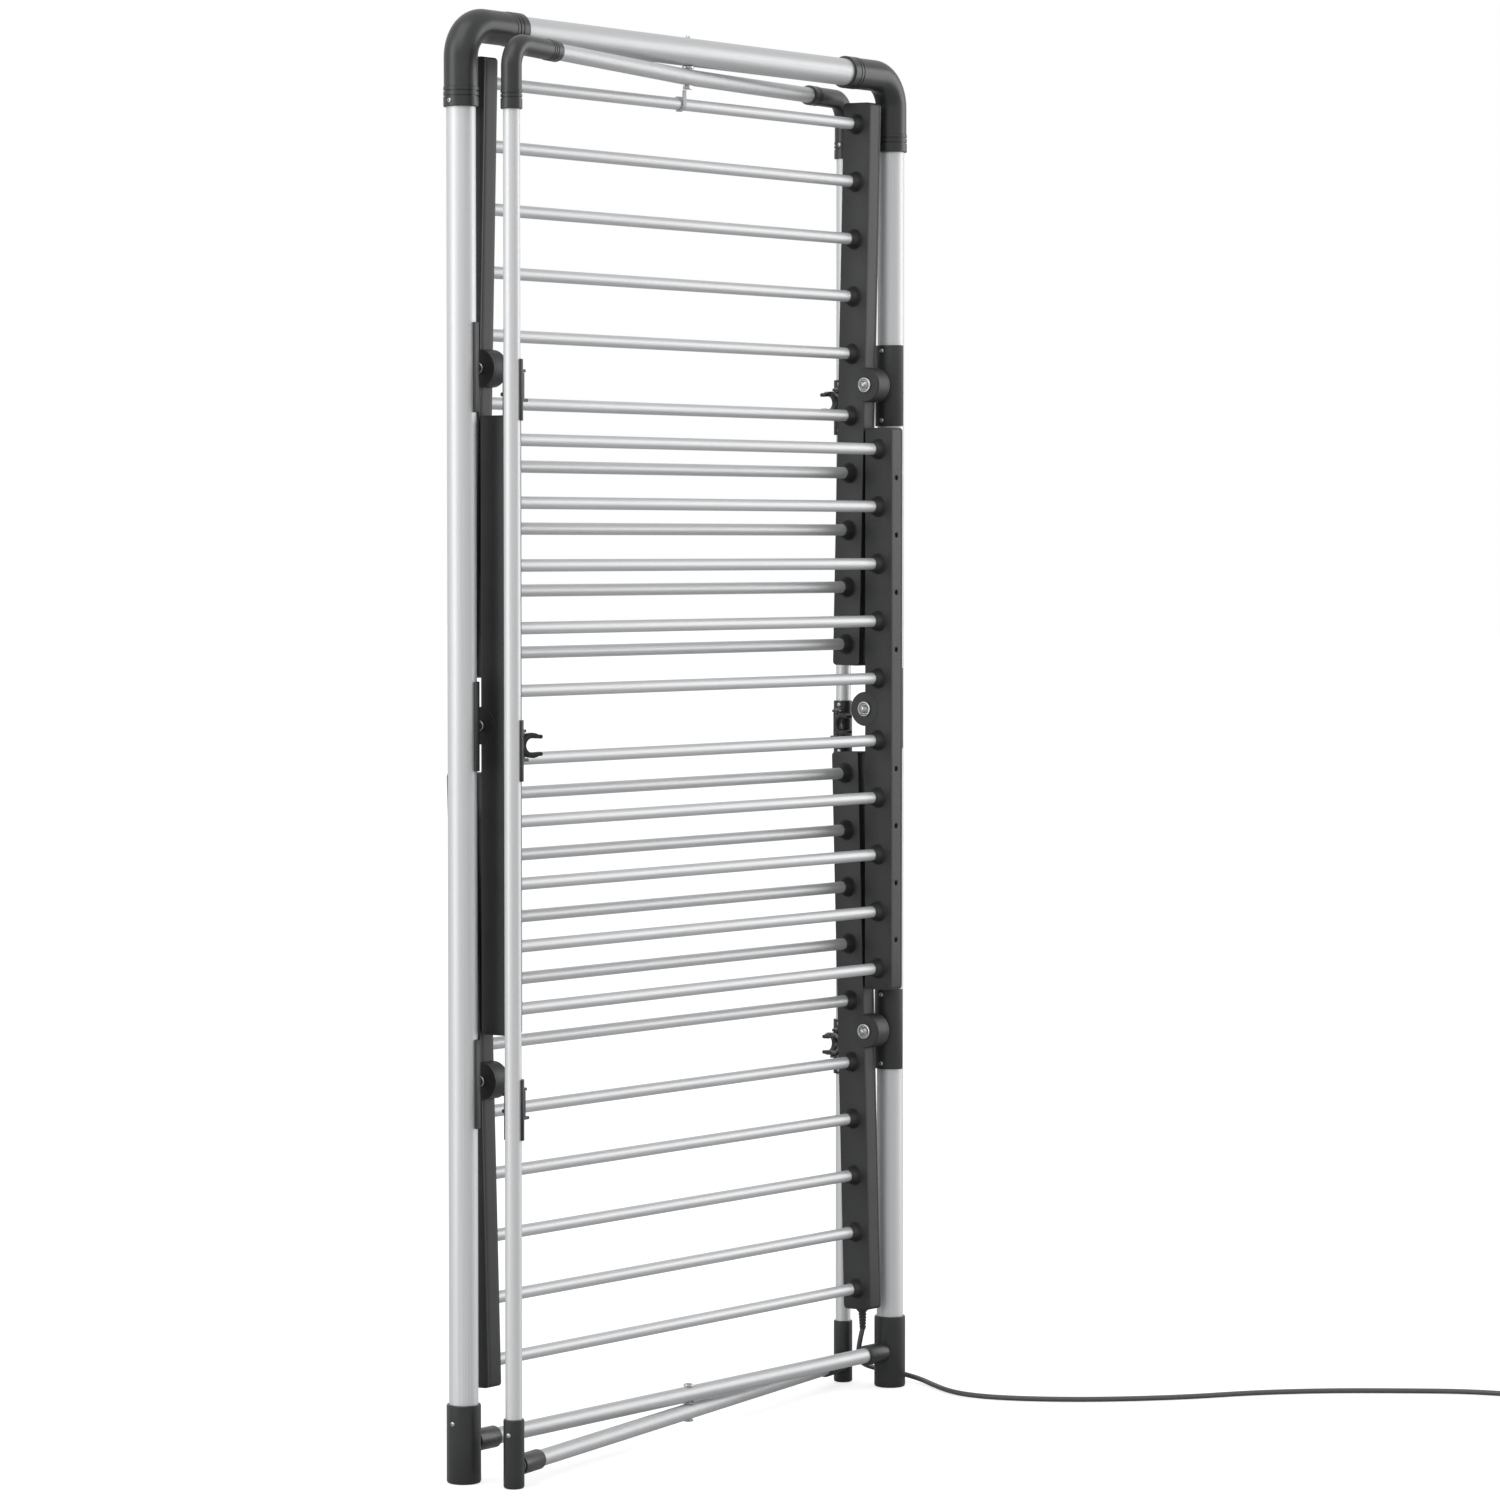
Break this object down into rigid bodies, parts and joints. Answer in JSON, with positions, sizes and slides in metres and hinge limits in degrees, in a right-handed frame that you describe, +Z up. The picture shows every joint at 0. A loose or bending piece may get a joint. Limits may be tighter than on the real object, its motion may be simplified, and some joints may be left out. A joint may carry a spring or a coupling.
{
  "type": "heated clothes airer",
  "caption": "Free-standing heated clothes airer, folded: a thick and a thin tube frame cross on a vertical pivot and carry three tilting shelves of heated rungs, with clips and a mains lead.",
  "frame": {"origin": "on the floor under the vertical pivot where the two frames cross, the middle of the folded airer's footprint", "axes": "+X along the rungs, +Y to the back through the folded airer's thickness, +Z up"},
  "size_m": [1.1441, 0.7574, 1.4027],
  "materials": {
    "outer_tube": "satin silver paint on steel tube",
    "inner_tube": "satin silver paint on steel tube",
    "corner_plastic": "fine satin moulded plastic, dark grey",
    "bracket_plastic": "satin moulded plastic, dark grey",
    "clip_plastic": "black moulded plastic",
    "rail_cover_plastic": "satin moulded plastic, dark grey",
    "rail_plastic": "satin moulded plastic, dark grey",
    "rung_tube": "satin anodised",
    "heating_wire": "silicone insulated wire, hidden",
    "fixings": "zinc plated",
    "hook_plastic": "light grey moulded plastic",
    "gland_rubber": "moulded grey",
    "cord_sheath": "matt grey sheath",
    "plug_plastic": "moulded dark grey"
  },
  "bodies": {
    "outer_frame": {"cord_coil": "cord_sheath", "frame_pivot_pins": "fixings", "mains_cord": "cord_sheath", "mains_plug": "plug_plastic", "outer_bottom_bar": "outer_tube", "outer_elbow_left": "corner_plastic", "outer_elbow_right": "corner_plastic", "outer_foot_left": "corner_plastic", "outer_foot_right": "corner_plastic", "outer_post_left": "outer_tube", "outer_post_right": "outer_tube", "outer_screws": "fixings", "outer_top_bar": "outer_tube", "pivot_bracket_lower_left": "bracket_plastic", "pivot_bracket_lower_right": "bracket_plastic", "pivot_bracket_middle_left": "bracket_plastic", "pivot_bracket_middle_right": "bracket_plastic", "pivot_bracket_upper_left": "bracket_plastic", "pivot_bracket_upper_right": "bracket_plastic", "pivot_pins_lower": "fixings", "pivot_pins_middle": "fixings", "pivot_pins_upper": "fixings"},
    "inner_frame": {"clip_saddle_lower_left": "bracket_plastic", "clip_saddle_lower_right": "bracket_plastic", "clip_saddle_middle_left": "bracket_plastic", "clip_saddle_middle_right": "bracket_plastic", "clip_saddle_upper_left": "bracket_plastic", "clip_saddle_upper_right": "bracket_plastic", "inner_bottom_bar": "inner_tube", "inner_elbow_left": "corner_plastic", "inner_elbow_right": "corner_plastic", "inner_foot_left": "corner_plastic", "inner_foot_right": "corner_plastic", "inner_post_left": "inner_tube", "inner_post_right": "inner_tube", "inner_screws": "fixings", "inner_top_bar": "inner_tube"},
    "upper_shelf": {"heating_wires_upper": "heating_wire", "rail_covers_upper": "rail_cover_plastic", "rail_upper_left": "rail_plastic", "rail_upper_right": "rail_plastic", "rungs_upper": "rung_tube", "storage_hook": "hook_plastic"},
    "middle_shelf": {"heating_wires_middle": "heating_wire", "rail_covers_middle": "rail_cover_plastic", "rail_middle_left": "rail_plastic", "rail_middle_right": "rail_plastic", "rungs_middle": "rung_tube"},
    "lower_shelf": {"cord_gland": "gland_rubber", "heating_wires_lower": "heating_wire", "rail_covers_lower": "rail_cover_plastic", "rail_lower_left": "rail_plastic", "rail_lower_right": "rail_plastic", "rungs_lower": "rung_tube"},
    "clip_upper_left": {"rung_clip_upper_left": "clip_plastic"},
    "clip_upper_right": {"rung_clip_upper_right": "clip_plastic"},
    "clip_middle_left": {"rung_clip_middle_left": "clip_plastic"},
    "clip_middle_right": {"rung_clip_middle_right": "clip_plastic"},
    "clip_lower_left": {"rung_clip_lower_left": "clip_plastic"},
    "clip_lower_right": {"rung_clip_lower_right": "clip_plastic"}
  },
  "joints": [
    {"name": "frame_spread", "type": "hinge", "parent": "outer_frame", "child": "inner_frame", "pos_m": [0, 0, 0.7], "axis": [0, 0, 1], "range_deg": [0, 80.6]},
    {"name": "upper_shelf_fold", "type": "hinge", "parent": "outer_frame", "child": "upper_shelf", "pos_m": [0, 0, 1.062], "axis": [1, 0, 0], "range_deg": [-91.35, 88.65]},
    {"name": "middle_shelf_fold", "type": "hinge", "parent": "outer_frame", "child": "middle_shelf", "pos_m": [0, 0, 0.722], "axis": [1, 0, 0], "range_deg": [0, 90]},
    {"name": "lower_shelf_fold", "type": "hinge", "parent": "outer_frame", "child": "lower_shelf", "pos_m": [0, 0, 0.382], "axis": [1, 0, 0], "range_deg": [-88.4, 0]},
    {"name": "clip_swivel_upper_left", "type": "hinge", "parent": "inner_frame", "child": "clip_upper_left", "pos_m": [-0.33001, -0.05463, 1.0445], "axis": [0, 0, 1], "range_deg": [-160, 0]},
    {"name": "clip_swivel_upper_right", "type": "hinge", "parent": "inner_frame", "child": "clip_upper_right", "pos_m": [0.33001, 0.05463, 1.0445], "axis": [0, 0, 1], "range_deg": [-60, 60]},
    {"name": "clip_swivel_middle_left", "type": "hinge", "parent": "inner_frame", "child": "clip_middle_left", "pos_m": [-0.33001, -0.05463, 0.7045], "axis": [0, 0, 1], "range_deg": [-47, 73]},
    {"name": "clip_swivel_middle_right", "type": "hinge", "parent": "inner_frame", "child": "clip_middle_right", "pos_m": [0.33001, 0.05463, 0.7045], "axis": [0, 0, 1], "range_deg": [-144, 16]},
    {"name": "clip_swivel_lower_left", "type": "hinge", "parent": "inner_frame", "child": "clip_lower_left", "pos_m": [-0.33001, -0.05463, 0.3645], "axis": [0, 0, 1], "range_deg": [-160, 0]},
    {"name": "clip_swivel_lower_right", "type": "hinge", "parent": "inner_frame", "child": "clip_lower_right", "pos_m": [0.33001, 0.05463, 0.3645], "axis": [0, 0, 1], "range_deg": [-71, 49]}
  ],
  "couplings": [
    {"joint": "upper_shelf_fold", "follows": "frame_spread", "ratio": 1.0998},
    {"joint": "middle_shelf_fold", "follows": "frame_spread", "ratio": 0.12},
    {"joint": "lower_shelf_fold", "follows": "frame_spread", "ratio": -1.0967}
  ]
}
